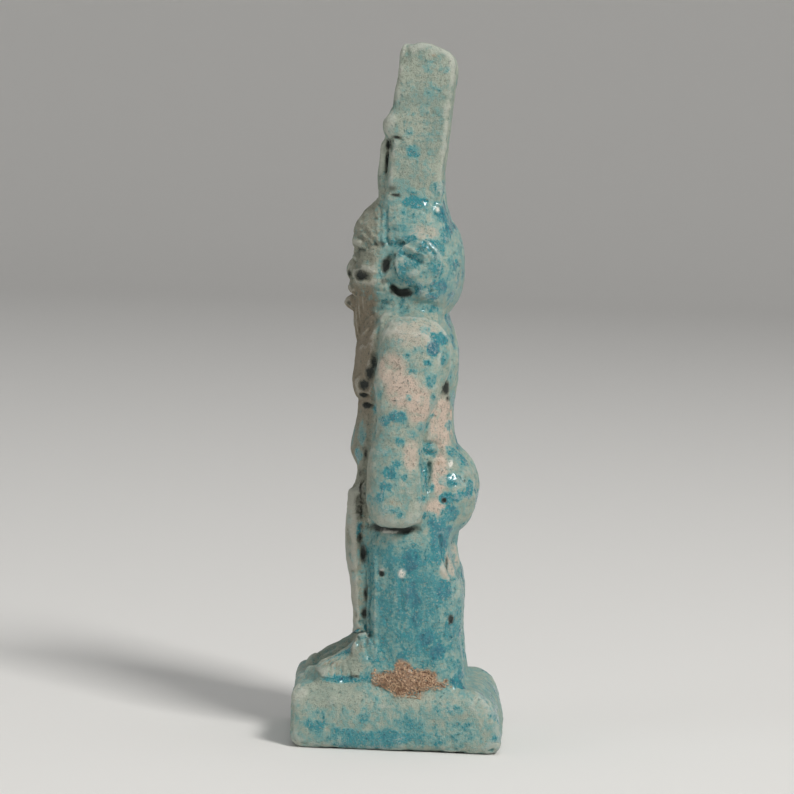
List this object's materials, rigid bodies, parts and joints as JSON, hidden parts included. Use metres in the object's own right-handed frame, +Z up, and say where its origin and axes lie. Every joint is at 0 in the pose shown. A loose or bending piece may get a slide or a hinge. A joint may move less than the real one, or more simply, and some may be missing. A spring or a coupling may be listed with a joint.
{
  "type": "bes amulet figure",
  "caption": "Small worn blue-glazed faience figure of the standing dwarf god Bes with a tall plume crown, moulded in one piece with its oblong base.",
  "frame": {"origin": "middle of the base's underside", "axes": "+Z up, the figure faces -Y and its own left side is +X"},
  "size_m": [0.0212, 0.021, 0.07],
  "materials": {
    "faience": "worn turquoise glaze over a pale sandy body"
  },
  "bodies": {
    "root": {"bes_figure": "faience"}
  },
  "joints": []
}
